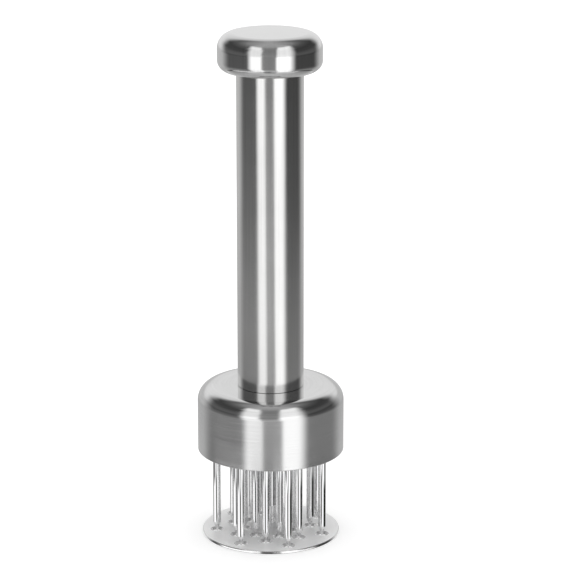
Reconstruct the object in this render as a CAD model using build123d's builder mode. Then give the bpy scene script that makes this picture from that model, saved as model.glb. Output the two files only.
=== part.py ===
from build123d import *

import os

# Meat injector. All sizes are in millimetres. The tool stands upright on its guard plate: the
# origin is the centre of the plate's underside and +Z runs up the barrel to the knob.

# Driving dimensions: the outside of the tool.
total_height = 244.9
bell_radius = 35.0
bell_rim_z = 42.4
bell_top_z = 74.6
bell_shoulder = 7.6
barrel_radius = 15.8
knob_radius = 24.6
knob_height = 18.0
knob_top_rounding = 7.5
knob_base_rounding = 5.2
plate_radius = 33.0
plate_thickness = 1.4
plate_edge_rounding = 0.5
guard_hole = 2.2
guard_hole_mouth = 3.2

# Sheet and tube thicknesses.
bell_sheet = 1.0
barrel_wall = 1.0
barrel_edge_rounding = 0.2
knob_sheet = 1.2

# Needles: three rings of seven, the middle ring staggered by half a step.
needles_per_ring = 7
outer_ring_radius = 26.2
middle_ring_radius = 19.2
inner_ring_radius = 13.0
first_needle_angle = 185.5
stagger_angle = 180 / needles_per_ring
needle_rings = [
    (outer_ring_radius, first_needle_angle),
    (middle_ring_radius, first_needle_angle + stagger_angle),
    (inner_ring_radius, first_needle_angle),
]
needle_radius = 1.85
needle_bore = 1.0
needle_point = 4.8
needle_tip_flat = 0.25
needle_tip_z = 0.4
side_port_radius = 0.45
side_port_rise = 1.8

# Travels.
plunger_travel = 110.0
guard_travel = 50.0

# Clearances: sliding fits, a turning thread and the small gaps that keep parts apart.
running_fit = 0.05
slide_gap = 0.1
stop_gap = 0.2

# Stack of parts inside the bell, from the underside of the needle plate upwards.
needle_plate_z = 55.0
needle_plate_thickness = 3.5
gasket_thickness = 0.5
gallery_depth = 4.0
bell_bore = bell_radius - bell_sheet
bell_ceiling_z = bell_top_z - bell_sheet
manifold_radius = bell_bore - slide_gap
needle_plate_top_z = needle_plate_z + needle_plate_thickness
manifold_z = needle_plate_top_z + gasket_thickness
gallery_margin = 0.55
gallery_radius = outer_ring_radius + needle_radius + gallery_margin
feed_circle = 9.0
feed_count = 6
feed_radius = 1.5
needle_stand_up = 0.5
needle_top_z = manifold_z + needle_stand_up
needle_point_top_z = needle_tip_z + needle_point

# Screws that clamp the needle plate, placed between the needles of the outer ring.
clamp_circle = 31.2
clamp_count = 3
clamp_angle = 57
clamp_shank = 1.5
clamp_head = 2.5
clamp_head_height = 1.8
clamp_head_rounding = 0.6
clamp_bite = 5.0
hex_socket = 1.2
socket_depth = 1.1

# Threaded neck that carries the barrel.
barrel_bore = barrel_radius - barrel_wall
neck_radius = barrel_bore - slide_gap
neck_height = 10.0
neck_chamfer = 0.8
neck_top_z = bell_top_z + neck_height
neck_groove_z = bell_top_z + 4.5
foot_gap = 0.1
foot_rebate_depth = 0.6
foot_rebate_radius = 15.3
foot_gasket_radius = foot_rebate_radius - foot_gap
foot_gasket_thickness = foot_gap + foot_rebate_depth
barrel_foot_z = bell_top_z + foot_gap
knob_z = total_height - knob_height
knob_gap = 0.3
barrel_top_z = knob_z - knob_gap

# Centre sleeve, guard rod and spring.
sleeve_radius = 5.0
sleeve_bore = 4.0
sleeve_hub_radius = 6.5
sleeve_top_z = 208.0
plug_height = 2.0
plug_spigot = 2.0
plug_chamfer = 0.8
rod_radius = 2.5
rod_thread = 1.5
rod_thread_length = 5.0
screw_head = 2.8
screw_bite = 7.0
bush_top_z = 64.0
bush_collar_radius = 6.5
bush_chamfer = 0.5
guard_stop_z = plate_thickness + guard_travel + stop_gap
rod_nut_z = bush_top_z + stop_gap
rod_nut_height = 6.0
rod_nut_radius = sleeve_bore - slide_gap
rod_nut_chamfer = 0.4
rod_nut_top_z = rod_nut_z + rod_nut_height
spring_wire = 0.7
spring_radius = 3.15
spring_turns = 34

# Piston and plunger tube.
piston_z = neck_top_z + stop_gap
piston_height = 12.0
piston_top_z = piston_z + piston_height
piston_radius = barrel_bore - slide_gap
piston_bore = sleeve_radius + slide_gap
plunger_radius = 8.0
plunger_bore = 6.0
lock_nut_height = 4.0
lock_nut_flats = 22.0
boss_radius = 11.0
boss_socket = 11.0
ring_section = 1.1
ring_groove = 2.6
groove_land = 1.4
low_groove_z = piston_z + groove_land
high_groove_z = piston_top_z - groove_land - ring_groove

# Gland at the top of the barrel, low enough to stop the lock nut at the end of the pull.
gland_z = piston_top_z + lock_nut_height + plunger_travel + stop_gap
gland_lip = 2.0
gland_seat = 10.5
wiper_height = 2.0
wiper_bevel = 0.9


# ---- Head: the bell and what is fixed inside it ----

# Bell housing: a drawn cup, open downwards, with a hole in its crown for the neck.
with BuildPart() as bell_housing:
    with BuildSketch(Plane.XY.offset(bell_rim_z)):
        Circle(bell_radius)
    extrude(amount=bell_top_z - bell_rim_z)
    fillet(bell_housing.edges().sort_by(Axis.Z)[-1], bell_shoulder)
    offset(amount=-bell_sheet, openings=bell_housing.faces().sort_by(Axis.Z)[0])
    with Locations((0, 0, bell_top_z)):
        Hole(neck_radius, depth=2 * bell_sheet)
    rim_edges = bell_housing.edges().group_by(Axis.Z)[0]
    fillet(rim_edges, 0.35 * bell_sheet)

# Manifold body: fills the top of the bell, carries the neck and feeds the needle gallery.
with BuildPart() as manifold_body:
    with BuildSketch(Plane.XY.offset(manifold_z)):
        Circle(manifold_radius)
    extrude(amount=bell_ceiling_z - manifold_z)
    fillet(manifold_body.edges().sort_by(Axis.Z)[-1], bell_shoulder)
    with BuildSketch(Plane.XY.offset(bell_ceiling_z)):
        Circle(neck_radius)
    extrude(amount=neck_top_z - bell_ceiling_z)
    chamfer(manifold_body.edges().group_by(Axis.Z)[-1], neck_chamfer)
    with BuildSketch(Plane.XY.offset(manifold_z)):
        Circle(gallery_radius)
        Circle(sleeve_hub_radius, mode=Mode.SUBTRACT)
    extrude(amount=gallery_depth, mode=Mode.SUBTRACT)
    with Locations((0, 0, neck_top_z)):
        Hole(sleeve_radius)
    with BuildSketch(Plane.XY.offset(neck_top_z)):
        with PolarLocations(feed_circle, feed_count):
            Circle(feed_radius)
    extrude(amount=manifold_z + gallery_depth - neck_top_z, mode=Mode.SUBTRACT)
    with BuildSketch(Plane.XY.offset(neck_groove_z)):
        Circle(neck_radius)
        Circle(neck_radius - 2 * ring_section, mode=Mode.SUBTRACT)
    extrude(amount=ring_groove, mode=Mode.SUBTRACT)
    with BuildSketch(Plane.XY.offset(manifold_z)):
        with PolarLocations(clamp_circle, clamp_count, clamp_angle):
            Circle(clamp_shank)
    extrude(amount=clamp_bite + 1, mode=Mode.SUBTRACT)

# O-ring in the neck's groove: seals the neck against the barrel's bore.
with BuildPart() as neck_seal:
    with Locations((0, 0, neck_groove_z + ring_groove / 2)):
        Torus(neck_radius - ring_section, ring_section)

# Flat gasket round the gallery, between the manifold body and the needle plate.
with BuildPart() as manifold_gasket:
    with BuildSketch(Plane.XY.offset(needle_plate_top_z)):
        Circle(manifold_radius)
        Circle(gallery_radius, mode=Mode.SUBTRACT)
        with PolarLocations(clamp_circle, clamp_count, clamp_angle):
            Circle(clamp_shank, mode=Mode.SUBTRACT)
    extrude(amount=gasket_thickness)

# Needle plate: the needles are brazed into it and it closes the gallery from below.
with BuildPart() as needle_plate:
    with BuildSketch(Plane.XY.offset(needle_plate_z)):
        Circle(manifold_radius)
        Circle(sleeve_bore, mode=Mode.SUBTRACT)
        for ring_radius, start_angle in needle_rings:
            with PolarLocations(ring_radius, needles_per_ring, start_angle):
                Circle(needle_radius, mode=Mode.SUBTRACT)
        with PolarLocations(clamp_circle, clamp_count, clamp_angle):
            Circle(clamp_shank, mode=Mode.SUBTRACT)
    extrude(amount=needle_plate_thickness)

# Three pan-head screws that clamp the needle plate and its gasket to the manifold body.
with BuildPart() as manifold_screws:
    with BuildSketch(Plane.XY.offset(needle_plate_z)):
        with PolarLocations(clamp_circle, clamp_count, clamp_angle):
            Circle(clamp_shank)
    extrude(amount=needle_plate_thickness + gasket_thickness + clamp_bite)
    with BuildSketch(Plane.XY.offset(needle_plate_z)):
        with PolarLocations(clamp_circle, clamp_count, clamp_angle):
            Circle(clamp_head)
    extrude(amount=-clamp_head_height)
    fillet(manifold_screws.edges().group_by(Axis.Z)[0], clamp_head_rounding)
    with BuildSketch(Plane.XY.offset(needle_plate_z - clamp_head_height)):
        with PolarLocations(clamp_circle, clamp_count, clamp_angle):
            RegularPolygon(hex_socket, 6)
    extrude(amount=socket_depth, mode=Mode.SUBTRACT)


def ring_of_needles(ring_radius, start_angle):
    """Seven hollow needles on one ring, each with a pencil point and a port that faces the tool's axis."""
    with BuildPart() as needles:
        with BuildSketch(Plane.XY.offset(needle_point_top_z)):
            with PolarLocations(ring_radius, needles_per_ring, start_angle):
                Circle(needle_radius)
        extrude(amount=needle_top_z - needle_point_top_z)
        with Locations((0, 0, needle_tip_z + needle_point / 2)):
            with PolarLocations(ring_radius, needles_per_ring, start_angle):
                Cone(needle_tip_flat, needle_radius, needle_point)
        with BuildSketch(Plane.XY.offset(needle_point_top_z)):
            with PolarLocations(ring_radius, needles_per_ring, start_angle):
                Circle(needle_bore)
        extrude(amount=needle_top_z - needle_point_top_z, mode=Mode.SUBTRACT)
        with Locations((0, 0, needle_point_top_z + side_port_rise)):
            with PolarLocations(ring_radius - needle_radius, needles_per_ring, start_angle):
                Cylinder(side_port_radius, 2 * needle_radius, rotation=(0, 90, 0), mode=Mode.SUBTRACT)
    return needles


needles_outer, needles_middle, needles_inner = [ring_of_needles(*ring) for ring in needle_rings]

# Centre sleeve: a closed tube up the middle that keeps the guard rod out of the marinade.
with BuildPart() as centre_sleeve:
    with BuildSketch(Plane.XY.offset(needle_plate_top_z)):
        Circle(sleeve_radius)
        Circle(sleeve_bore, mode=Mode.SUBTRACT)
    extrude(amount=sleeve_top_z - needle_plate_top_z)

# Plug that closes the sleeve and takes the top end of the guard spring.
with BuildPart() as sleeve_plug:
    with BuildSketch(Plane.XY.offset(sleeve_top_z - plug_spigot)):
        Circle(sleeve_bore)
    extrude(amount=plug_spigot)
    with BuildSketch(Plane.XY.offset(sleeve_top_z)):
        Circle(sleeve_radius)
    extrude(amount=plug_height)
    chamfer(sleeve_plug.edges().sort_by(Axis.Z)[-1], plug_chamfer)

# Guide bush: pressed up into the sleeve, its collar stops the guard plate at full travel.
with BuildPart() as guide_bush:
    with BuildSketch(Plane.XY.offset(needle_plate_z)):
        Circle(sleeve_bore)
    extrude(amount=bush_top_z - needle_plate_z)
    with BuildSketch(Plane.XY.offset(guard_stop_z)):
        Circle(bush_collar_radius)
    extrude(amount=needle_plate_z - guard_stop_z)
    chamfer(guide_bush.edges().sort_by(Axis.Z)[0], bush_chamfer)
    with Locations((0, 0, bush_top_z)):
        Hole(rod_radius + running_fit)


# ---- Barrel: unscrews from the neck ----

# Foot gasket: lies on the bell's crown, hidden in a rebate inside the foot of the barrel.
with BuildPart() as foot_gasket:
    with BuildSketch(Plane.XY.offset(bell_top_z)):
        Circle(foot_gasket_radius)
        Circle(barrel_bore, mode=Mode.SUBTRACT)
    extrude(amount=foot_gasket_thickness)

# Barrel tube: its foot is rebated inside for the gasket, so that only a thin lip shows.
with BuildPart() as barrel_tube:
    with BuildSketch(Plane.XY.offset(barrel_foot_z)):
        Circle(barrel_radius)
        Circle(barrel_bore, mode=Mode.SUBTRACT)
    extrude(amount=barrel_top_z - barrel_foot_z)
    with BuildSketch(Plane.XY.offset(barrel_foot_z)):
        Circle(foot_rebate_radius)
    extrude(amount=foot_rebate_depth, mode=Mode.SUBTRACT)
    outer_edges = barrel_tube.edges().filter_by(GeomType.CIRCLE).group_by(SortBy.RADIUS)[-1]
    fillet(outer_edges, barrel_edge_rounding)

# Gland cap: closes the top of the barrel and stops the piston at the end of its pull.
with BuildPart() as gland_cap:
    with BuildSketch(Plane.XY.offset(gland_z)):
        Circle(barrel_bore)
    extrude(amount=barrel_top_z - gland_z)
    with Locations((0, 0, barrel_top_z)):
        CounterBoreHole(plunger_radius + slide_gap, gland_seat, barrel_top_z - gland_z - gland_lip)

# Gland bush: guides the plunger tube.
with BuildPart() as gland_bush:
    with BuildSketch(Plane.XY.offset(gland_z + gland_lip)):
        Circle(gland_seat)
        Circle(plunger_radius + running_fit, mode=Mode.SUBTRACT)
    extrude(amount=barrel_top_z - wiper_height - gland_z - gland_lip)

# Wiper ring above the bush, with a bevelled lip round the plunger tube.
with BuildPart() as gland_wiper:
    with BuildSketch(Plane.XY.offset(barrel_top_z - wiper_height)):
        Circle(gland_seat)
        Circle(plunger_radius + running_fit, mode=Mode.SUBTRACT)
    extrude(amount=wiper_height)
    lip = gland_wiper.edges().filter_by(GeomType.CIRCLE).group_by(Axis.Z)[-1].sort_by(SortBy.RADIUS)[0]
    chamfer(lip, wiper_bevel)


# ---- Plunger: knob, tube and piston ----

# Plunger tube: runs over the sleeve, from the socket in the piston to the boss in the knob.
with BuildPart() as plunger_tube:
    with BuildSketch(Plane.XY.offset(piston_z + piston_height / 2)):
        Circle(plunger_radius)
        Circle(plunger_bore, mode=Mode.SUBTRACT)
    extrude(amount=knob_z + knob_sheet + boss_socket - piston_z - piston_height / 2)

# Piston: slides in the barrel outside and on the sleeve inside.
with BuildPart() as piston:
    with BuildSketch(Plane.XY.offset(piston_z)):
        Circle(piston_radius)
    extrude(amount=piston_height)
    with Locations((0, 0, piston_top_z)):
        CounterBoreHole(piston_bore, plunger_radius, piston_height / 2)
    with BuildSketch(Plane.XY.offset(low_groove_z)):
        Circle(piston_bore + 2 * ring_section)
        Circle(piston_bore, mode=Mode.SUBTRACT)
    extrude(amount=ring_groove, mode=Mode.SUBTRACT)
    with BuildSketch(Plane.XY.offset(low_groove_z)):
        Circle(piston_radius)
        Circle(piston_radius - 2 * ring_section, mode=Mode.SUBTRACT)
    extrude(amount=ring_groove, mode=Mode.SUBTRACT)
    with BuildSketch(Plane.XY.offset(high_groove_z)):
        Circle(piston_radius)
        Circle(piston_radius - 2 * ring_section, mode=Mode.SUBTRACT)
    extrude(amount=ring_groove, mode=Mode.SUBTRACT)

# Two O-rings round the piston, against the barrel.
with BuildPart() as piston_rings:
    with Locations((0, 0, low_groove_z + ring_groove / 2), (0, 0, high_groove_z + ring_groove / 2)):
        Torus(piston_radius - ring_section, ring_section)

# O-ring in the piston's bore, against the sleeve.
with BuildPart() as sleeve_seal:
    with Locations((0, 0, low_groove_z + ring_groove / 2)):
        Torus(piston_bore + ring_section, ring_section)

# Lock nut that clamps the plunger tube to the piston.
with BuildPart() as piston_nut:
    with BuildSketch(Plane.XY.offset(piston_top_z)):
        RegularPolygon(lock_nut_flats / 2, 6, major_radius=False)
        Circle(plunger_radius, mode=Mode.SUBTRACT)
    extrude(amount=lock_nut_height)


def rounded_disc(radius, low, high, top_rounding, base_rounding):
    """A solid disc on the tool's axis with a rounding round its top and another round its base."""
    with BuildPart() as disc:
        with BuildSketch(Plane.XY.offset(low)):
            Circle(radius)
        extrude(amount=high - low)
        fillet(disc.edges().sort_by(Axis.Z)[-1], top_rounding)
        fillet(disc.edges().sort_by(Axis.Z)[0], base_rounding)
    return disc.part


# Knob shell: a drawn cap with a broad rounded crown and a smaller rounding under it.
knob_outside = rounded_disc(knob_radius, knob_z, total_height, knob_top_rounding, knob_base_rounding)
knob_hollow = rounded_disc(
    knob_radius - knob_sheet,
    knob_z + knob_sheet,
    total_height - knob_sheet,
    knob_top_rounding - knob_sheet,
    knob_base_rounding - knob_sheet,
)
with BuildPart() as knob_shell:
    add(knob_outside)
    add(knob_hollow, mode=Mode.SUBTRACT)
    with BuildSketch(Plane.XY.offset(knob_z)):
        Circle(knob_radius - knob_base_rounding)
    extrude(amount=knob_sheet, mode=Mode.SUBTRACT)

# Knob base: the disc welded into the underside of the shell.
with BuildPart() as knob_base:
    with BuildSketch(Plane.XY.offset(knob_z)):
        Circle(knob_radius - knob_base_rounding)
        Circle(plunger_radius, mode=Mode.SUBTRACT)
    extrude(amount=knob_sheet)

# Knob boss: joins the shell to the plunger tube.
with BuildPart() as knob_boss:
    with BuildSketch(Plane.XY.offset(knob_z + knob_sheet)):
        Circle(boss_radius)
    extrude(amount=knob_height - 2 * knob_sheet)
    with BuildSketch(Plane.XY.offset(knob_z + knob_sheet)):
        Circle(plunger_radius)
    extrude(amount=boss_socket, mode=Mode.SUBTRACT)


# ---- Guard: the plate that strips the meat off the needles, its rod and its spring ----

# Guard plate: one clearance hole per needle, each countersunk on top to lead the needle in.
with BuildPart() as guard_plate:
    with BuildSketch():
        Circle(plate_radius)
    extrude(amount=plate_thickness)
    fillet(guard_plate.edges(), plate_edge_rounding)
    with Locations((0, 0, plate_thickness)):
        for ring_radius, start_angle in needle_rings:
            with PolarLocations(ring_radius, needles_per_ring, start_angle):
                CounterSinkHole(guard_hole, guard_hole_mouth, plate_thickness)
    with Locations(Location((0, 0, 0), (180, 0, 0))):
        CounterSinkHole(rod_thread, screw_head, plate_thickness, counter_sink_angle=90)

# Guard rod: stands on the plate and slides up inside the bush and the sleeve.
with BuildPart() as guard_rod:
    with BuildSketch(Plane.XY.offset(plate_thickness)):
        Circle(rod_radius)
    extrude(amount=rod_nut_z - plate_thickness)
    with BuildSketch(Plane.XY.offset(rod_nut_z)):
        Circle(rod_thread)
    extrude(amount=rod_thread_length)
    with BuildSketch(Plane.XY.offset(plate_thickness)):
        Circle(rod_thread)
    extrude(amount=screw_bite + 1, mode=Mode.SUBTRACT)

# Countersunk screw that holds the plate to the rod, flush with the plate's underside.
with BuildPart() as guard_screw:
    with Locations((0, 0, (screw_head - rod_thread) / 2)):
        Cone(screw_head, rod_thread, screw_head - rod_thread)
    with BuildSketch(Plane.XY.offset(screw_head - rod_thread)):
        Circle(rod_thread)
    extrude(amount=plate_thickness + screw_bite + rod_thread - screw_head)
    with BuildSketch():
        RegularPolygon(hex_socket, 6)
    extrude(amount=socket_depth, mode=Mode.SUBTRACT)

# Rod nut: keeps the rod in the sleeve and carries the lower end of the spring.
with BuildPart() as rod_nut:
    with BuildSketch(Plane.XY.offset(rod_nut_z)):
        Circle(rod_nut_radius)
    extrude(amount=rod_nut_height)
    with BuildSketch(Plane.XY.offset(rod_nut_z)):
        Circle(rod_thread)
    extrude(amount=rod_thread_length, mode=Mode.SUBTRACT)
    chamfer(rod_nut.edges().sort_by(Axis.Z)[-1], rod_nut_chamfer)

# Guard spring: a long light coil inside the sleeve, from the rod nut up to the plug.
with BuildPart() as guard_spring:
    spring_low_z = rod_nut_top_z + spring_wire / 2
    spring_high_z = sleeve_top_z - plug_spigot - spring_wire / 2
    spring_pitch = (spring_high_z - spring_low_z) / spring_turns
    with BuildLine(Plane.XY.offset(spring_low_z)):
        coil = Helix(spring_pitch, spring_high_z - spring_low_z, spring_radius)
    with BuildSketch(Plane(origin=coil @ 0, z_dir=coil % 0)):
        Circle(spring_wire / 2)
    sweep(is_frenet=True)


pieces = {
    "bell_housing": bell_housing,
    "manifold_body": manifold_body,
    "neck_seal": neck_seal,
    "manifold_gasket": manifold_gasket,
    "needle_plate": needle_plate,
    "manifold_screws": manifold_screws,
    "needles_outer": needles_outer,
    "needles_middle": needles_middle,
    "needles_inner": needles_inner,
    "centre_sleeve": centre_sleeve,
    "sleeve_plug": sleeve_plug,
    "guide_bush": guide_bush,
    "foot_gasket": foot_gasket,
    "barrel_tube": barrel_tube,
    "gland_cap": gland_cap,
    "gland_bush": gland_bush,
    "gland_wiper": gland_wiper,
    "plunger_tube": plunger_tube,
    "piston": piston,
    "piston_rings": piston_rings,
    "sleeve_seal": sleeve_seal,
    "piston_nut": piston_nut,
    "knob_shell": knob_shell,
    "knob_base": knob_base,
    "knob_boss": knob_boss,
    "guard_plate": guard_plate,
    "guard_rod": guard_rod,
    "guard_screw": guard_screw,
    "rod_nut": rod_nut,
    "guard_spring": guard_spring,
}

os.makedirs("parts", exist_ok=True)
for name, piece in pieces.items():
    piece.part.label = name
    export_step(piece.part, f"parts/{name}.step")
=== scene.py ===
from math import atan2, ceil, cos, pi, radians, sin, tan

import bpy
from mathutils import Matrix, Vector, geometry


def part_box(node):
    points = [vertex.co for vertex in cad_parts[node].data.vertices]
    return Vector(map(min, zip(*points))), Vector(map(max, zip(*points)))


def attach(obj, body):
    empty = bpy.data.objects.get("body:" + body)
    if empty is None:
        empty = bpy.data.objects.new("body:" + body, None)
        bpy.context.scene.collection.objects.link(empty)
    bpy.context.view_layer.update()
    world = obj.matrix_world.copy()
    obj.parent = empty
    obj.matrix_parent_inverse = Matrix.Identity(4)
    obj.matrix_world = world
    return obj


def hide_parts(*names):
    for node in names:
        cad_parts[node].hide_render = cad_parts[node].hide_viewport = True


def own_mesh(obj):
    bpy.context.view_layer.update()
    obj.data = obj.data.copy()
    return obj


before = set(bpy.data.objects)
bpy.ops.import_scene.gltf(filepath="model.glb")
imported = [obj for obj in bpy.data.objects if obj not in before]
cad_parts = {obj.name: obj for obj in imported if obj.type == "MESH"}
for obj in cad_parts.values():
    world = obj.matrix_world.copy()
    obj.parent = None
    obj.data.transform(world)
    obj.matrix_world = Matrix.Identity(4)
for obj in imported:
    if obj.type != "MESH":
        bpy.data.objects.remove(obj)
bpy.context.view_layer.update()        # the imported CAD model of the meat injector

mm = 0.001

# ---- Sizes in metres ----

# Outer sizes are read from the CAD model.
bell_low, bell_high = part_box("bell_housing")
barrel_low, barrel_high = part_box("barrel_tube")
knob_low, knob_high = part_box("knob_shell")
base_low, base_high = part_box("knob_base")
plate_low, plate_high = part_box("guard_plate")
needle_low, needle_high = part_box("needles_outer")
rod_low, rod_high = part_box("guard_rod")
spring_low, spring_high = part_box("guard_spring")
neck_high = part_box("neck_seal")[1]
rod_neck_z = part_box("rod_nut")[0].z
plunger_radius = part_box("plunger_tube")[1].x
screw_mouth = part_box("guard_screw")[1].x

bell_radius = bell_high.x
barrel_radius = barrel_high.x
knob_radius = knob_high.x
plate_radius = plate_high.x
rod_radius = rod_high.x
neck_radius = neck_high.x

# Thicknesses and roundings of the sheet-metal parts, as in the CAD model. Only the barrel's foot is a
# little sharper here.
fine_edge = 0.1 * mm
bell_sheet = 1.0 * mm
bell_shoulder = 7.6 * mm
bell_rim = 0.35 * mm
barrel_wall = 1.0 * mm
barrel_bore = barrel_radius - barrel_wall
barrel_foot_edge = 0.12 * mm
barrel_top_edge = 0.2 * mm
foot_rebate_radius = 15.3 * mm
foot_rebate_depth = 0.6 * mm
knob_sheet = 1.2 * mm
knob_crown = 7.5 * mm
knob_underside = 5.2 * mm
base_edge = 0.15 * mm

# Needles: three rings of seven, the middle ring staggered by half a step.
needles_per_ring = 7
first_needle = radians(185.5)
needle_step = 2 * pi / needles_per_ring
needle_radius = 1.85 * mm
needle_bore = 1.0 * mm
needle_point = 4.8 * mm
needle_tip_radius = 0.28 * mm
needle_tip_rounding = 0.22 * mm
needle_shoulder = 0.8 * mm
needle_mouth_edge = 0.15 * mm
bore_end_rounding = 0.4 * mm
bore_end_depth = 0.6 * mm
ring_places = {
    "needles_outer": (26.2 * mm, first_needle),
    "needles_middle": (19.2 * mm, first_needle + needle_step / 2),
    "needles_inner": (13.0 * mm, first_needle),
}

# Guard: the plate's edge, its countersunk holes, the screw that holds it on the rod, and the spring. The
# plate's edge is a little sharper than in the CAD model.
plate_edge = 0.35 * mm
guard_hole = 2.2 * mm
guard_mouth = 3.2 * mm
countersink_angle = radians(41)
mouth_edge = 0.2 * mm
throat_edge = 0.15 * mm
screw_thread = 1.5 * mm
rod_foot_edge = 0.3 * mm
rod_neck_edge = 0.2 * mm
wire_radius = 0.35 * mm
spring_turns = 34


# ---- Meshes ----

on_axis_radius = 1e-7


class Shell:
    """Vertices, their exact normals and the faces of one piece while it is being built."""

    def __init__(self):
        self.points = []
        self.normals = []
        self.faces = []

    def vertex(self, point, normal):
        """Adds one vertex and returns its number."""
        self.points.append(point)
        self.normals.append(normal)
        return len(self.points) - 1

    def piece(self, name, material):
        """The finished mesh object, smooth shaded with the exact normals."""
        mesh = bpy.data.meshes.new(name)
        mesh.from_pydata(self.points, [], self.faces)
        mesh.polygons.foreach_set("use_smooth", [True] * len(mesh.polygons))
        mesh.normals_split_custom_set_from_vertices(self.normals)
        mesh.materials.append(material)
        made = bpy.data.objects.new(name, mesh)
        bpy.context.scene.collection.objects.link(made)
        return made


def rounded(corners, closed=True, fineness=24):
    """An outline of (radius, height, normal) from corners (radius, height, rounding), run anticlockwise.

    The solid is on the left, so the outward normal is to the right of the way along. Each corner becomes
    an arc, or two points in the same place where its rounding is 0, which makes a sharp edge. An open
    outline keeps its two ends as they are."""
    outline = []
    count = len(corners)
    for index, (radius, height, rounding) in enumerate(corners):
        before = corners[(index - 1) % count]
        after = corners[(index + 1) % count]
        way_in = atan2(height - before[1], radius - before[0])
        way_out = atan2(after[1] - height, after[0] - radius)
        if not closed and index == 0:
            outline.append((radius, height, way_out - pi / 2))
            continue
        if not closed and index == count - 1:
            outline.append((radius, height, way_in - pi / 2))
            continue
        turn = (way_out - way_in + pi) % (2 * pi) - pi
        reach = rounding * tan(abs(turn) / 2)
        side = 1 if turn > 0 else -1
        start = (radius - cos(way_in) * reach, height - sin(way_in) * reach)
        centre = (start[0] - side * sin(way_in) * rounding, start[1] + side * cos(way_in) * rounding)
        steps = max(3, ceil(fineness * abs(turn) / pi)) if rounding else 1
        for step in range(steps + 1):
            angle = way_in - pi / 2 + turn * step / steps
            out, up = side * rounding * cos(angle), side * rounding * sin(angle)
            outline.append((centre[0] + out, centre[1] + up, angle))
    return outline


def turn(shell, outline, segments, closed=True, centre=(0, 0), phase=0.0):
    """Adds the surface that the outline sweeps round the upright axis through centre.

    Returns its rings of vertices, in the outline's order."""
    rings = []
    for radius, height, slope in outline:
        if radius < on_axis_radius:
            normal = (0, 0, 1 if sin(slope) > 0 else -1)
            rings.append([shell.vertex((centre[0], centre[1], height), normal)])
            continue
        ring = []
        for segment in range(segments):
            angle = phase + 2 * pi * segment / segments
            point = (centre[0] + radius * cos(angle), centre[1] + radius * sin(angle), height)
            normal = (cos(slope) * cos(angle), cos(slope) * sin(angle), sin(slope))
            ring.append(shell.vertex(point, normal))
        rings.append(ring)
    spans = list(zip(rings, rings[1:]))
    if closed:
        spans.append((rings[-1], rings[0]))
    for low, high in spans:
        sharp_edge = shell.points[low[0]] == shell.points[high[0]]
        both_on_axis = len(low) == 1 and len(high) == 1
        if sharp_edge or both_on_axis:
            continue
        for segment in range(segments):
            following = (segment + 1) % segments
            if len(low) == 1:
                shell.faces.append((low[0], high[following], high[segment]))
            elif len(high) == 1:
                shell.faces.append((low[segment], low[following], high[0]))
            else:
                shell.faces.append((low[segment], low[following], high[following], high[segment]))
    return rings


def turned(name, material, corners, segments=192, closed=True, fineness=24):
    """A piece that is one outline swept round the tool's axis."""
    shell = Shell()
    turn(shell, rounded(corners, closed, fineness), segments, closed)
    return shell.piece(name, material)


def middle_of(points):
    return sum(points, Vector((0, 0))) / len(points)


def fill_flat(shell, outer, holes, up):
    """Fills the flat face between an outer ring of vertices and the rings of its holes."""
    rings = [outer] + holes
    points = []
    edges = []
    names = []
    for ring in rings:
        first = len(points)
        for place, vertex in enumerate(ring):
            points.append(Vector(shell.points[vertex][:2]))
            names.append(vertex)
            edges.append((first + place, first + (place + 1) % len(ring)))
    filled = geometry.delaunay_2d_cdt(points, edges, [], 0, 1e-9)
    places, triangles, sources = filled[0], filled[2], filled[3]
    discs = []
    for ring in holes:
        rim = [Vector(shell.points[vertex][:2]) for vertex in ring]
        disc = middle_of(rim)
        discs.append((disc, (rim[0] - disc).length))
    for triangle in triangles:
        middle = middle_of([places[corner] for corner in triangle])
        in_hole = any((middle - disc).length < reach * 0.995 for disc, reach in discs)
        if in_hole:
            continue
        face = [names[sources[corner][0]] for corner in triangle]
        shell.faces.append(tuple(face if up else reversed(face)))


# ---- Materials ----


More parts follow.
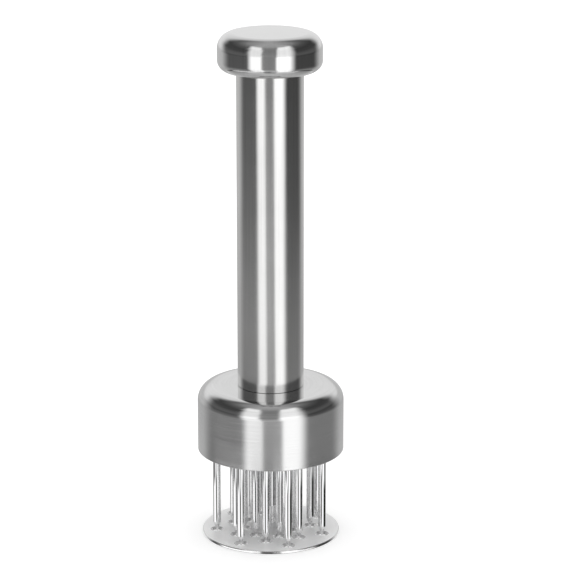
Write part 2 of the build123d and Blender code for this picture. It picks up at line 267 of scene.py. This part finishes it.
class Graph:
    """A material's node graph, with a short way to add and join nodes."""

    def __init__(self, name):
        self.material = bpy.data.materials.new(name)
        self.material.use_nodes = True
        self.tree = self.material.node_tree
        self.tree.nodes.clear()
        self.output = self.add("ShaderNodeOutputMaterial")

    def add(self, kind, inputs=(), **settings):
        """Adds a node. An input is a value, or another node's output to join to it."""
        node = self.tree.nodes.new(kind)
        for setting, value in settings.items():
            setattr(node, setting, value)
        for socket, value in dict(inputs).items():
            if isinstance(value, bpy.types.NodeSocket):
                self.tree.links.new(value, node.inputs[socket])
            else:
                node.inputs[socket].default_value = value
        return node

    def math(self, operation, first, second=0.0):
        return self.add("ShaderNodeMath", {0: first, 1: second}, operation=operation).outputs[0]

    def noise(self, vector, scale, detail=3.0, roughness=0.55):
        inputs = {"Vector": vector, "Scale": scale, "Detail": detail, "Roughness": roughness}
        return self.add("ShaderNodeTexNoise", inputs).outputs["Fac"]

    def spread(self, value, low, high, new_low, new_high):
        """Carries the stretch low to high over to new_low to new_high, and holds it there."""
        inputs = {0: value, 1: low, 2: high, 3: new_low, 4: new_high}
        return self.add("ShaderNodeMapRange", inputs, clamp=True).outputs[0]

    def tones(self, value, dark, light):
        """A colour between dark, where the value is 0, and light, where it is 1."""
        ramp = self.add("ShaderNodeValToRGB", {"Fac": value})
        ramp.color_ramp.elements[0].color = (*dark, 1)
        ramp.color_ramp.elements[1].color = (*light, 1)
        return ramp.outputs["Color"]

    def round_axis(self):
        """Object coordinates as the turn round the tool's axis, the distance from it, and the height."""
        place = self.add("ShaderNodeTexCoord").outputs["Object"]
        parts = self.add("ShaderNodeSeparateXYZ", {0: place})
        x, y, z = parts.outputs
        angle = self.math("ARCTAN2", y, x)
        squares = self.math("ADD", self.math("MULTIPLY", x, x), self.math("MULTIPLY", y, y))
        return place, angle, self.math("SQRT", squares), z

    def scaled(self, parts, scales):
        """A vector of three parts, each times its own scale."""
        x, y, z = [self.math("MULTIPLY", part, scale) for part, scale in zip(parts, scales)]
        return self.add("ShaderNodeCombineXYZ", {0: x, 1: y, 2: z}).outputs[0]

    def finish(self, colour, roughness, height, strength, distance, metallic=0.0):
        """Joins a principled surface with a bump to the material's output, and returns the material."""
        bump = self.add("ShaderNodeBump", {"Strength": strength, "Distance": distance, "Height": height})
        inputs = {
            "Base Color": colour,
            "Metallic": metallic,
            "Roughness": roughness,
            "Normal": bump.outputs[0],
        }
        shader = self.add("ShaderNodeBsdfPrincipled", inputs)
        self.tree.links.new(shader.outputs[0], self.output.inputs[0])
        return self.material


def steel(name, light, dark, smooth, rough, grain, depth, lines, crown_polish=0.0, metallic=1.0):
    """Stainless steel. Grain is "round" for marks that run round the axis or "long" for marks along it.

    light and dark are its two colours, smooth and rough the two ends of its roughness, depth the strength
    of its marks, and lines how many marks there are to a millimetre. crown_polish takes roughness away
    where the surface faces up."""
    graph = Graph(name)
    place, angle, from_axis, height = graph.round_axis()
    per_metre = lines / mm
    if grain == "round":
        marks = graph.scaled((angle, from_axis, height), (0.7, per_metre, per_metre))
    else:
        marks = graph.scaled((angle, 0.0, height), (per_metre * barrel_radius, 1.0, 12.0))
    fine = graph.noise(marks, 1.0, 4.0, 0.6)
    cloud = graph.noise(place, 45.0, 3.0)
    tone = graph.math("ADD", graph.math("MULTIPLY", fine, 0.65), graph.math("MULTIPLY", cloud, 0.35))
    colour = graph.tones(graph.spread(tone, 0.3, 0.7, 0.0, 1.0), dark, light)

    wear = graph.math("ADD", fine, graph.math("MULTIPLY", cloud, 0.6))
    scratch_place = graph.scaled((angle, from_axis, height), (9.0, 900.0, 900.0))
    scratch = graph.spread(graph.noise(scratch_place, 1.0, 2.0), 0.68, 0.74, 0.0, 0.35 * rough)
    roughness = graph.math("ADD", graph.spread(wear, 0.55, 1.05, smooth, rough), scratch)
    if crown_polish:
        normal = graph.add("ShaderNodeNewGeometry").outputs["Normal"]
        facing_up = graph.add("ShaderNodeSeparateXYZ", {0: normal}).outputs[2]
        polish = graph.spread(facing_up, 0.2, 0.9, 1.0, 1.0 - crown_polish)
        roughness = graph.math("MULTIPLY", roughness, polish)
    return graph.finish(colour, roughness, fine, depth, 0.02 * mm, metallic)


def soft_solid(name, light, dark, rough, grain_scale, depth):
    """A matt solid such as rubber or a food-grade polymer, faintly mottled with turning marks."""
    graph = Graph(name)
    place, angle, from_axis, height = graph.round_axis()
    cloud = graph.noise(place, grain_scale, 4.0)
    fine = graph.noise(graph.scaled((angle, from_axis, height), (0.5, 4000.0, 4000.0)), 1.0, 2.0)
    colour = graph.tones(cloud, dark, light)
    roughness = graph.spread(graph.math("ADD", cloud, fine), 0.6, 1.4, rough - 0.08, rough + 0.08)
    return graph.finish(colour, roughness, fine, depth, 0.03 * mm)


barrel_steel = steel(
    "barrel_steel", light=(0.77, 0.768, 0.763), dark=(0.64, 0.638, 0.633),
    smooth=0.13, rough=0.20, grain="long", depth=0.05, lines=1.6,
)
bell_steel = steel(
    "bell_steel", light=(0.77, 0.77, 0.77), dark=(0.65, 0.65, 0.65),
    smooth=0.12, rough=0.18, grain="round", depth=0.05, lines=1.8, crown_polish=0.45,
)
knob_steel = steel(
    "knob_steel", light=(0.76, 0.76, 0.76), dark=(0.67, 0.67, 0.67),
    smooth=0.07, rough=0.12, grain="long", depth=0.03, lines=1.4,
)
needle_steel = steel(
    "needle_steel", light=(0.92, 0.92, 0.925), dark=(0.88, 0.88, 0.885),
    smooth=0.015, rough=0.03, grain="long", depth=0.004, lines=3.0,
)
plate_steel = steel(
    "plate_steel", light=(0.95, 0.95, 0.95), dark=(0.89, 0.89, 0.89),
    smooth=0.36, rough=0.46, grain="round", depth=0.10, lines=3.0, metallic=0.25,
)
rim_steel = steel(
    "rim_steel", light=(0.90, 0.90, 0.90), dark=(0.84, 0.84, 0.84),
    smooth=0.05, rough=0.12, grain="round", depth=0.04, lines=4.0,
)
hole_steel = steel(
    "hole_steel", light=(1.0, 1.0, 1.0), dark=(0.95, 0.95, 0.95),
    smooth=0.10, rough=0.16, grain="round", depth=0.04, lines=4.0, metallic=0.65,
)
machined_steel = steel(
    "machined_steel", light=(0.70, 0.70, 0.71), dark=(0.58, 0.58, 0.59),
    smooth=0.18, rough=0.30, grain="round", depth=0.20, lines=4.0,
)
wire_steel = steel(
    "wire_steel", light=(0.64, 0.64, 0.66), dark=(0.52, 0.52, 0.54),
    smooth=0.20, rough=0.32, grain="long", depth=0.10, lines=3.0,
)
white_polymer = soft_solid(
    "white_polymer", light=(0.86, 0.85, 0.82), dark=(0.80, 0.79, 0.76),
    rough=0.42, grain_scale=300.0, depth=0.15,
)
black_rubber = soft_solid(
    "black_rubber", light=(0.045, 0.045, 0.045), dark=(0.02, 0.02, 0.02),
    rough=0.62, grain_scale=700.0, depth=0.25,
)


# ---- Bell, barrel and knob ----

bell = turned("bell_shell", bell_steel, [
    (bell_radius - bell_sheet, bell_low.z, bell_rim),
    (bell_radius, bell_low.z, bell_rim),
    (bell_radius, bell_high.z, bell_shoulder),
    (neck_radius, bell_high.z, fine_edge),
    (neck_radius, bell_high.z - bell_sheet, fine_edge),
    (bell_radius - bell_sheet, bell_high.z - bell_sheet, bell_shoulder - bell_sheet),
], fineness=48)
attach(bell, "head")
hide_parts("bell_housing")

rebate_top = barrel_low.z + foot_rebate_depth
barrel = turned("barrel_shell", barrel_steel, [
    (foot_rebate_radius, barrel_low.z, fine_edge),
    (barrel_radius, barrel_low.z, barrel_foot_edge),
    (barrel_radius, barrel_high.z, barrel_top_edge),
    (barrel_bore, barrel_high.z, fine_edge),
    (barrel_bore, rebate_top, fine_edge),
    (foot_rebate_radius, rebate_top, fine_edge),
])
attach(barrel, "barrel")
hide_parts("barrel_tube")

knob_mouth = knob_radius - knob_underside
knob_inner = knob_radius - knob_sheet
knob = turned("knob_cap", knob_steel, [
    (knob_mouth, knob_low.z, fine_edge),
    (knob_radius, knob_low.z, knob_underside),
    (knob_radius, knob_high.z, knob_crown),
    (0, knob_high.z, 0),
    (0, knob_high.z - knob_sheet, 0),
    (knob_inner, knob_high.z - knob_sheet, knob_crown - knob_sheet),
    (knob_inner, knob_low.z + knob_sheet, knob_underside - knob_sheet),
    (knob_mouth, knob_low.z + knob_sheet, fine_edge),
], fineness=48)
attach(knob, "plunger")
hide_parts("knob_shell")

# The base disc fills the knob's underside. The roundings where the two meet leave a fine seam.
base = turned("knob_base_disc", knob_steel, [
    (plunger_radius, base_low.z, base_edge),
    (base_high.x, base_low.z, base_edge),
    (base_high.x, base_high.z, base_edge),
    (plunger_radius, base_high.z, base_edge),
])
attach(base, "plunger")
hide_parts("knob_base")


# ---- Needles ----


def needle_places(ring):
    """Where a ring's needles stand: x, y and the turn round the tool's axis."""
    radius, start = ring_places[ring]
    angles = [start + needle_step * number for number in range(needles_per_ring)]
    return [(radius * cos(angle), radius * sin(angle), angle) for angle in angles]


def needle_outline():
    """A closed pencil point, the shaft, and the bore, which is open at the top."""
    point_top = needle_low.z + needle_point
    return rounded([
        (0, needle_low.z, 0),
        (needle_tip_radius, needle_low.z, needle_tip_rounding),
        (needle_radius, point_top, needle_shoulder),
        (needle_radius, needle_high.z, needle_mouth_edge),
        (needle_bore, needle_high.z, needle_mouth_edge),
        (needle_bore, point_top, bore_end_rounding),
        (0, point_top - bore_end_depth, 0),
    ], closed=False)


for ring in ring_places:
    shell = Shell()
    for x, y, angle in needle_places(ring):
        turn(shell, needle_outline(), 48, closed=False, centre=(x, y), phase=angle)
    needles = shell.piece(ring + "_ring", needle_steel)
    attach(needles, "head")
    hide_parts(ring)


# ---- Guard plate and rod ----

def run_between(corners):
    """The rounded outline of the corners between the first and the last, which only give it its direction."""
    return rounded(corners, closed=False)[1:-1]


run_in = 1 * mm
plate = Shell()
plate_rim = run_between([
    (plate_radius - run_in, plate_low.z, 0),
    (plate_radius, plate_low.z, plate_edge),
    (plate_radius, plate_high.z, plate_edge),
    (plate_radius - run_in, plate_high.z, 0),
])
rim_rings = turn(plate, plate_rim, 256, closed=False)
rim_faces = len(plate.faces)

mouth_depth = (guard_mouth - guard_hole) / tan(countersink_angle)
needle_hole = run_between([
    (guard_mouth + run_in, plate_high.z, 0),
    (guard_mouth, plate_high.z, mouth_edge),
    (guard_hole, plate_high.z - mouth_depth, throat_edge),
    (guard_hole, plate_low.z, fine_edge),
    (guard_hole + run_in, plate_low.z, 0),
])
mouths = []
feet = []
for ring in ring_places:
    for x, y, angle in needle_places(ring):
        hole_rings = turn(plate, needle_hole, 48, closed=False, centre=(x, y), phase=angle)
        mouths.append(hole_rings[0])
        feet.append(hole_rings[-1])
screw_hole = run_between([
    (screw_thread + run_in, plate_high.z, 0),
    (screw_thread, plate_high.z, 0),
    (screw_thread, plate_low.z + screw_mouth - screw_thread, 0),
    (screw_mouth, plate_low.z, 0),
    (screw_mouth + run_in, plate_low.z, 0),
])
screw_rings = turn(plate, screw_hole, 48, closed=False)
hole_faces = len(plate.faces)

fill_flat(plate, rim_rings[-1], mouths + [screw_rings[0]], up=True)
fill_flat(plate, rim_rings[0], feet + [screw_rings[-1]], up=False)
plate_piece = plate.piece("plate_disc", plate_steel)
plate_piece.data.materials.append(rim_steel)
plate_piece.data.materials.append(hole_steel)
for face in plate_piece.data.polygons[:hole_faces]:
    face.material_index = 1 if face.index < rim_faces else 2
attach(plate_piece, "guard")
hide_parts("guard_plate")

rod = turned("guide_rod", needle_steel, [
    (0, rod_low.z, 0),
    (rod_radius, rod_low.z, rod_foot_edge),
    (rod_radius, rod_neck_z, rod_neck_edge),
    (screw_thread, rod_neck_z, fine_edge),
    (screw_thread, rod_high.z, rod_foot_edge),
    (0, rod_high.z, 0),
], segments=64, closed=False)
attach(rod, "guard")
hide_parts("guard_rod")


# ---- Guard spring ----


def coil(name, material, radius, wire, low, high, turns):
    """A compression spring with closed end turns, wound upwards round the tool's axis.

    The wire's centre line runs at the given radius, and wire is the wire's own radius."""
    around = 12
    per_turn = 28
    closed_turns = 1.5
    closed_pitch = 0.12
    shell = Shell()
    rings = []
    steps = turns * per_turn
    heights = []
    height = 0.0
    for step in range(steps + 1):
        turn_number = step / per_turn
        inside = min(turn_number, turns - turn_number) / closed_turns
        height += closed_pitch + (1 - closed_pitch) * min(1.0, inside) ** 2
        heights.append(height)
    for step in range(steps + 1):
        share = (heights[step] - heights[0]) / (heights[-1] - heights[0])
        angle = 2 * pi * step / per_turn
        z = low + wire + share * (high - low - 2 * wire)
        ring = []
        for side in range(around):
            lean = 2 * pi * side / around
            out, up = cos(lean), sin(lean)
            reach = radius + wire * out
            point = (reach * cos(angle), reach * sin(angle), z + wire * up)
            ring.append(shell.vertex(point, (out * cos(angle), out * sin(angle), up)))
        rings.append(ring)
    for first, second in zip(rings, rings[1:]):
        for side in range(around):
            following = (side + 1) % around
            shell.faces.append((first[side], second[side], second[following], first[following]))
    shell.faces.append(tuple(rings[0]))
    shell.faces.append(tuple(reversed(rings[-1])))
    return shell.piece(name, material)


coil_radius = spring_high.x - wire_radius
spring = coil(
    "return_spring", wire_steel, coil_radius, wire_radius, spring_low.z, spring_high.z, spring_turns
)
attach(spring, "head")
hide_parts("guard_spring")
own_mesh(spring)


# ---- CAD nodes that keep their own shape ----

carried = {
    white_polymer: ["manifold_body", "guide_bush", "gland_bush", "piston"],
    black_rubber: [
        "neck_seal", "manifold_gasket", "foot_gasket", "gland_wiper", "piston_rings", "sleeve_seal",
    ],
    machined_steel: [
        "needle_plate", "manifold_screws", "centre_sleeve", "sleeve_plug", "gland_cap", "piston_nut",
        "knob_boss", "guard_screw", "rod_nut",
    ],
    needle_steel: ["plunger_tube"],
}
for material, nodes in carried.items():
    for node in nodes:
        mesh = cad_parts[node].data
        mesh.materials.clear()
        mesh.materials.append(material)


# ---- Studio ----

# Floor: wide, pale and matt, level with the underside of the guard plate.
floor_graph = Graph("studio_floor")
floor_place = floor_graph.add("ShaderNodeTexCoord").outputs["Object"]
floor_tone = floor_graph.tones(floor_graph.noise(floor_place, 3.0), (0.90, 0.90, 0.90), (0.93, 0.93, 0.93))
floor_shader = floor_graph.add(
    "ShaderNodeBsdfPrincipled",
    {"Base Color": floor_tone, "Roughness": 0.9, "Emission Color": (1, 1, 1, 1), "Emission Strength": 0.22},
)
floor_graph.tree.links.new(floor_shader.outputs[0], floor_graph.output.inputs[0])
floor_mesh = bpy.data.meshes.new("floor")
floor_reach = 9.0
floor_corners = [(x * floor_reach, y * floor_reach, 0) for x, y in ((-1, -1), (1, -1), (1, 1), (-1, 1))]
floor_mesh.from_pydata(floor_corners, [], [(0, 1, 2, 3)])
floor_mesh.materials.append(floor_graph.material)
floor = bpy.data.objects.new("floor", floor_mesh)
bpy.context.scene.collection.objects.link(floor)
floor.visible_glossy = False

# A tent for the steel to mirror, seen only in reflections. Each ring of it has a radius, a height, and the
# zones that hang there, in bearings from the camera's side towards +X: where one zone ends and the next
# begins, and how each glows. They run round as back, left flag, left softbox, front wall, right softbox,
# right flag and back again. The lowest ring comes first. From tent_top on, the rings close the ceiling.
tent_radius = 0.62
tent_top = 0.95
tent_rings = [
    (tent_radius, -0.600, (-125, -52, -14, 14, 60, 125), (0.50, 0.45, 0.60, 0.45, 0.60, 0.45)),
    (tent_radius, -0.260, (-125, -60, -15, 15, 70, 125), (0.55, 0.35, 0.70, 0.30, 0.75, 0.30)),
    (tent_radius, -0.246, (-125, -90, -17, 17, 76, 125), (0.80, 0.03, 1.30, 0.01, 1.30, 0.02)),
    (tent_radius, -0.231, (-125, -90, -17, 17, 76, 125), (0.80, 0.03, 1.30, 0.01, 1.30, 0.02)),
    (tent_radius, -0.227, (-134, -100, -30, 4, 46, 134), (0.80, 0.03, 1.15, 0.10, 1.20, 0.02)),
    (tent_radius, -0.196, (-134, -100, -30, 4, 46, 134), (0.80, 0.03, 1.15, 0.10, 1.20, 0.02)),
    (tent_radius, -0.188, (-117, -40, -12, 18, 52, 124), (0.55, 0.24, 1.17, 0.41, 1.42, 0.26)),
    (tent_radius, -0.130, (-117, -40, -12, 18, 52, 124), (0.50, 0.25, 1.17, 0.41, 1.42, 0.25)),
    (tent_radius, -0.078, (-117, -43, -14, 15, 51, 124), (0.50, 0.31, 1.27, 0.52, 1.36, 0.22)),
    (tent_radius, 0.017, (-115, -43, -15, 14, 50, 126), (0.60, 0.17, 1.25, 0.42, 1.38, 0.10)),
    (tent_radius, 0.118, (-113, -45, -18, 13, 49, 122), (0.60, 0.11, 1.45, 0.26, 1.60, 0.07)),
    (tent_radius, 0.150, (-115, -45, -18, 13, 49, 122), (0.60, 0.08, 1.38, 0.25, 1.52, 0.05)),
    (tent_radius, 0.195, (-118, -45, -17, 14, 49, 124), (0.66, 0.11, 1.22, 0.27, 1.30, 0.08)),
    (tent_radius, 0.240, (-120, -45, -17, 14, 49, 126), (0.84, 0.13, 1.10, 0.29, 1.16, 0.11)),
    (tent_radius, 0.320, (-124, -46, -18, 14, 50, 128), (0.90, 0.12, 1.06, 0.27, 1.12, 0.10)),
    (tent_radius, 0.450, (-134, -48, -18, 15, 52, 138), (0.88, 0.07, 1.04, 0.25, 1.08, 0.06)),
    (tent_radius, 0.650, (-146, -50, -18, 16, 55, 150), (0.80, 0.06, 1.04, 0.23, 1.08, 0.05)),
    (tent_radius, tent_top, (-160, -58, -22, 20, 63, 162), (0.68, 0.12, 1.15, 0.24, 1.20, 0.10)),
    (0.50, tent_top, (-163, -62, -25, 23, 68, 165), (0.52, 0.17, 1.10, 0.27, 1.15, 0.15)),
    (0.42, tent_top, (-165, -68, -28, 26, 74, 167), (0.46, 0.22, 0.90, 0.31, 1.00, 0.20)),
    (0.37, tent_top, (-165, -70, -30, 28, 76, 167), (0.43, 0.28, 0.48, 0.36, 0.50, 0.27)),
    (0.20, tent_top, (-165, -70, -30, 28, 76, 167), (0.43, 0.37, 0.43, 0.41, 0.43, 0.37)),
    (0.05, tent_top, (-165, -70, -30, 28, 76, 167), (0.43, 0.43, 0.43, 0.43, 0.43, 0.43)),
]
# How many degrees each of the six edges between zones is blended over.
edge_softness = (34, 13, 6, 6, 20, 34)


def smooth_step(value, low, high):
    """Rises from 0 at low to 1 at high, with a soft start and end."""
    share = min(1.0, max(0.0, (value - low) / (high - low)))
    return share * share * (3 - 2 * share)


def ring_glow(bearing, edges, glows):
    """The glow of one ring at a bearing: each zone's own, blended over the soft edges between zones."""
    glow = glows[0]
    for edge, softness, after in zip(edges, edge_softness, glows[1:] + glows[:1]):
        share = smooth_step(bearing, edge - softness / 2, edge + softness / 2)
        glow += (after - glow) * share
    return glow


def build_tent():
    """Makes the tent's surface, with the glow of each vertex as its light."""
    bearings = [-180 + 2 * step for step in range(180)]
    points = []
    glow = []
    for radius, height, edges, glows in tent_rings:
        for bearing in bearings:
            points.append((radius * sin(radians(bearing)), -radius * cos(radians(bearing)), height))
            glow.append(ring_glow(bearing, edges, glows))
    count = len(bearings)
    faces = []
    for index in range(len(tent_rings) - 1):
        for step in range(count):
            following = (step + 1) % count
            first = index * count
            second = first + count
            faces.append((first + step, first + following, second + following, second + step))
    faces.append(tuple(range(count)))
    faces.append(tuple(range(len(points) - count, len(points))))
    mesh = bpy.data.meshes.new("light_tent")
    mesh.from_pydata(points, [], faces)
    shades = mesh.attributes.new("glow", "FLOAT", "POINT")
    shades.data.foreach_set("value", glow)
    graph = Graph("light_tent")
    shade = graph.add("ShaderNodeAttribute", attribute_name="glow").outputs["Fac"]
    shader = graph.add("ShaderNodeEmission", {"Color": (1, 1, 1, 1), "Strength": shade})
    graph.tree.links.new(shader.outputs[0], graph.output.inputs[0])
    mesh.materials.append(graph.material)
    tent = bpy.data.objects.new("light_tent", mesh)
    bpy.context.scene.collection.objects.link(tent)
    tent.visible_camera = False
    tent.visible_diffuse = False
    tent.visible_shadow = False
    tent.visible_transmission = False


build_tent()

# Even white light from all round.
world = bpy.data.worlds.new("studio_light")
bpy.context.scene.world = world
world.use_nodes = True
background = world.node_tree.nodes.get("Background") or world.node_tree.nodes.new("ShaderNodeBackground")
background.inputs["Color"].default_value = (1, 1, 1, 1)
background.inputs["Strength"].default_value = 1.08

# Camera: a long lens from the front, a little above the tool and tilted down.
camera_distance = 1.2057
camera_height = 0.4680
camera_tilt = radians(16.05)
camera_turn = radians(0.44)
camera_lens = 164.3
camera_data = bpy.data.cameras.new("camera")
camera_data.sensor_width = 36
camera_data.lens = camera_lens
camera_data.clip_start = 0.05
camera = bpy.data.objects.new("camera", camera_data)
bpy.context.scene.collection.objects.link(camera)
camera.location = (0, -camera_distance, camera_height)
level = cos(camera_tilt)
sight = Vector((sin(camera_turn) * level, cos(camera_turn) * level, -sin(camera_tilt)))
camera.rotation_mode = "QUATERNION"
camera.rotation_quaternion = sight.to_track_quat("-Z", "Y")
bpy.context.scene.camera = camera
bpy.context.scene.view_settings.view_transform = "Standard"
bpy.context.scene.view_settings.look = "None"
